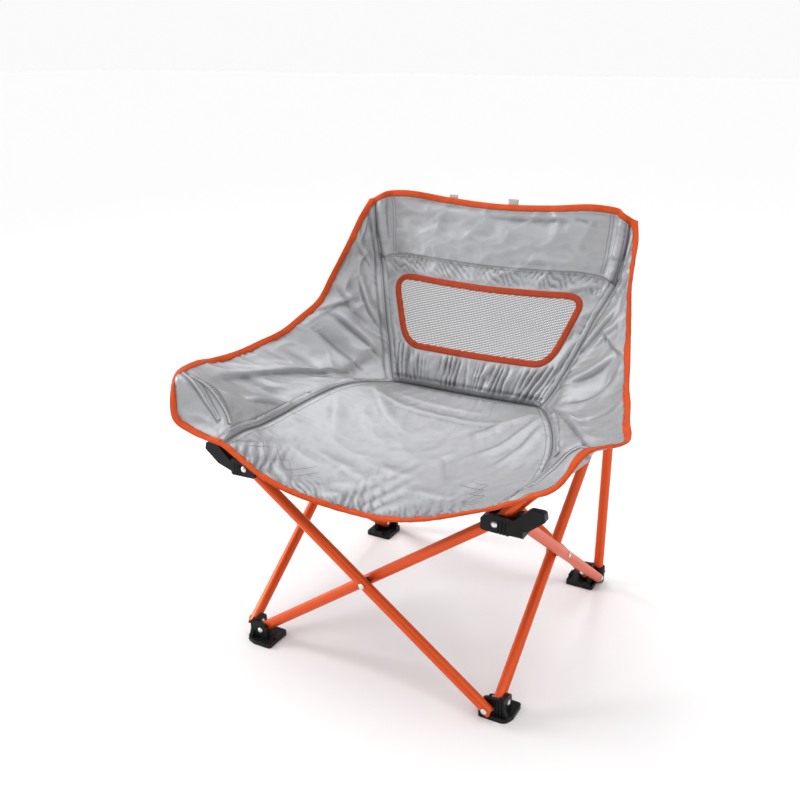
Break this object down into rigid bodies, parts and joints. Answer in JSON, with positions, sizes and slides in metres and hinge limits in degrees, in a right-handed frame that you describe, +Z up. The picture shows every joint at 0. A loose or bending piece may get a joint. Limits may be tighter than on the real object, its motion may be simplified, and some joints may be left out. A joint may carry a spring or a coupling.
{
  "type": "camp chair",
  "caption": "Low folding camp chair: a square quad-fold frame of crossed orange tubes with black corner mouldings, and a grey scoop sling with a mesh window and bound edges.",
  "frame": {"origin": "on the floor, under the middle of the open chair's bounding box", "axes": "+Z up, -Y is the front of the chair, +X is to the right of someone who looks at it from the front"},
  "size_m": [0.6606, 0.4982, 0.6274],
  "materials": {
    "tubes": "satin orange anodised aluminium tube",
    "mouldings": "fine-grained black glass-filled nylon",
    "pins": "plain domed rivet heads",
    "spacer": "black nylon washers",
    "cap": "black end plugs",
    "cloth": "light silver-grey ripstop polyester",
    "mesh": "light grey knitted mesh",
    "binding": "orange folded edge tape, one row of stitches"
  },
  "bodies": {
    "front_right_foot": {"front_right_foot": "mouldings", "front_right_foot_front_pin": "pins", "front_right_foot_right_pin": "pins"},
    "front_right_hub": {"front_right_hub": "mouldings", "front_right_hub_front_pin": "pins", "front_right_hub_right_pin": "pins"},
    "back_right_foot": {"back_right_foot": "mouldings", "back_right_foot_right_pin": "pins", "back_right_foot_back_pin": "pins", "right_upright": "tubes", "right_upright_cap": "cap", "back_right_socket_pin": "pins", "right_back_pocket": "cloth", "right_wing": "cloth", "right_binding": "binding"},
    "back_right_slider": {"back_right_slider": "mouldings", "back_right_slider_right_pin": "pins", "back_right_slider_back_pin": "pins"},
    "back_left_foot": {"back_left_foot": "mouldings", "back_left_foot_back_pin": "pins", "back_left_foot_left_pin": "pins", "left_upright": "tubes", "left_upright_cap": "cap", "back_left_socket_pin": "pins", "left_back_pocket": "cloth", "left_wing": "cloth", "left_binding": "binding", "back_panel": "cloth", "mesh_window": "mesh", "top_binding": "binding"},
    "back_left_slider": {"back_left_slider": "mouldings", "back_left_slider_back_pin": "pins", "back_left_slider_left_pin": "pins"},
    "front_left_foot": {"front_left_foot": "mouldings", "front_left_foot_left_pin": "pins", "front_left_foot_front_pin": "pins"},
    "front_left_hub": {"front_left_hub": "mouldings", "front_left_hub_left_pin": "pins", "front_left_hub_front_pin": "pins", "seat_panel": "cloth", "front_binding": "binding"},
    "front_inner_tube": {"front_inner_tube": "tubes", "front_crossing_pin": "pins", "front_spacer": "spacer", "right_wing_pocket": "cloth"},
    "front_outer_tube": {"front_outer_tube": "tubes", "left_wing_pocket": "cloth"},
    "right_inner_tube": {"right_inner_tube": "tubes", "right_crossing_pin": "pins", "right_spacer": "spacer"},
    "right_outer_tube": {"right_outer_tube": "tubes"},
    "back_inner_tube": {"back_inner_tube": "tubes"},
    "back_outer_tube": {"back_outer_tube": "tubes", "back_crossing_pin": "pins", "back_spacer": "spacer"},
    "left_inner_tube": {"left_inner_tube": "tubes"},
    "left_outer_tube": {"left_outer_tube": "tubes", "left_crossing_pin": "pins", "left_spacer": "spacer"}
  },
  "joints": [
    {"name": "frame_fold", "type": "hinge", "parent": "front_left_foot", "child": "front_inner_tube", "pos_m": [-0.189, -0.17772, 0.02], "axis": [0, -1, 0], "range_deg": [0, 47], "deforming": ["seat_panel", "front_binding", "back_panel", "mesh_window", "top_binding", "left_wing", "left_binding", "right_wing", "right_binding"]},
    {"name": "front_crossing", "type": "hinge", "parent": "front_inner_tube", "child": "front_outer_tube", "pos_m": [0, -0.18692, 0.158], "axis": [0, 1, 0], "range_deg": [0, 94]},
    {"name": "front_right_hub_hinge", "type": "hinge", "parent": "front_inner_tube", "child": "front_right_hub", "pos_m": [0.189, -0.17772, 0.296], "axis": [0, 1, 0], "range_deg": [0, 47]},
    {"name": "front_right_foot_hinge", "type": "hinge", "parent": "front_outer_tube", "child": "front_right_foot", "pos_m": [0.189, -0.19612, 0.02], "axis": [0, -1, 0], "range_deg": [0, 47]},
    {"name": "front_left_hub_hinge", "type": "hinge", "parent": "front_outer_tube", "child": "front_left_hub", "pos_m": [-0.189, -0.19612, 0.296], "axis": [0, -1, 0], "range_deg": [0, 47]},
    {"name": "left_outer_foot_hinge", "type": "hinge", "parent": "front_left_foot", "child": "left_outer_tube", "pos_m": [-0.2152, -0.16992, 0.02], "axis": [1, 0, 0], "range_deg": [0, 47]},
    {"name": "left_crossing", "type": "hinge", "parent": "left_outer_tube", "child": "left_inner_tube", "pos_m": [-0.206, 0.01908, 0.158], "axis": [-1, 0, 0], "range_deg": [0, 94]},
    {"name": "back_left_slider_hinge", "type": "hinge", "parent": "left_outer_tube", "child": "back_left_slider", "pos_m": [-0.2152, 0.20808, 0.296], "axis": [-1, 0, 0], "range_deg": [0, 47]},
    {"name": "back_left_foot_hinge", "type": "hinge", "parent": "left_inner_tube", "child": "back_left_foot", "pos_m": [-0.1968, 0.20808, 0.02], "axis": [1, 0, 0], "range_deg": [0, 47]},
    {"name": "right_inner_foot_hinge", "type": "hinge", "parent": "front_right_foot", "child": "right_inner_tube", "pos_m": [0.1968, -0.16992, 0.02], "axis": [1, 0, 0], "range_deg": [0, 47]},
    {"name": "right_crossing", "type": "hinge", "parent": "right_inner_tube", "child": "right_outer_tube", "pos_m": [0.206, 0.01908, 0.158], "axis": [-1, 0, 0], "range_deg": [0, 94]},
    {"name": "back_right_slider_hinge", "type": "hinge", "parent": "right_inner_tube", "child": "back_right_slider", "pos_m": [0.1968, 0.20808, 0.296], "axis": [-1, 0, 0], "range_deg": [0, 47]},
    {"name": "back_right_foot_hinge", "type": "hinge", "parent": "right_outer_tube", "child": "back_right_foot", "pos_m": [0.2152, 0.20808, 0.02], "axis": [1, 0, 0], "range_deg": [0, 47]},
    {"name": "back_outer_foot_hinge", "type": "hinge", "parent": "back_left_foot", "child": "back_outer_tube", "pos_m": [-0.189, 0.23428, 0.02], "axis": [0, -1, 0], "range_deg": [0, 47]},
    {"name": "back_crossing", "type": "hinge", "parent": "back_outer_tube", "child": "back_inner_tube", "pos_m": [0, 0.22508, 0.158], "axis": [0, 1, 0], "range_deg": [0, 94]}
  ],
  "couplings": [
    {"joint": "front_crossing", "follows": "frame_fold", "ratio": 2},
    {"joint": "front_right_hub_hinge", "follows": "frame_fold", "ratio": 1},
    {"joint": "front_right_foot_hinge", "follows": "frame_fold", "ratio": 1},
    {"joint": "front_left_hub_hinge", "follows": "frame_fold", "ratio": 1},
    {"joint": "left_outer_foot_hinge", "follows": "frame_fold", "ratio": 1},
    {"joint": "left_crossing", "follows": "frame_fold", "ratio": 2},
    {"joint": "back_left_slider_hinge", "follows": "frame_fold", "ratio": 1},
    {"joint": "back_left_foot_hinge", "follows": "frame_fold", "ratio": 1},
    {"joint": "right_inner_foot_hinge", "follows": "frame_fold", "ratio": 1},
    {"joint": "right_crossing", "follows": "frame_fold", "ratio": 2},
    {"joint": "back_right_slider_hinge", "follows": "frame_fold", "ratio": 1},
    {"joint": "back_right_foot_hinge", "follows": "frame_fold", "ratio": 1},
    {"joint": "back_outer_foot_hinge", "follows": "frame_fold", "ratio": 1},
    {"joint": "back_crossing", "follows": "frame_fold", "ratio": 2}
  ]
}
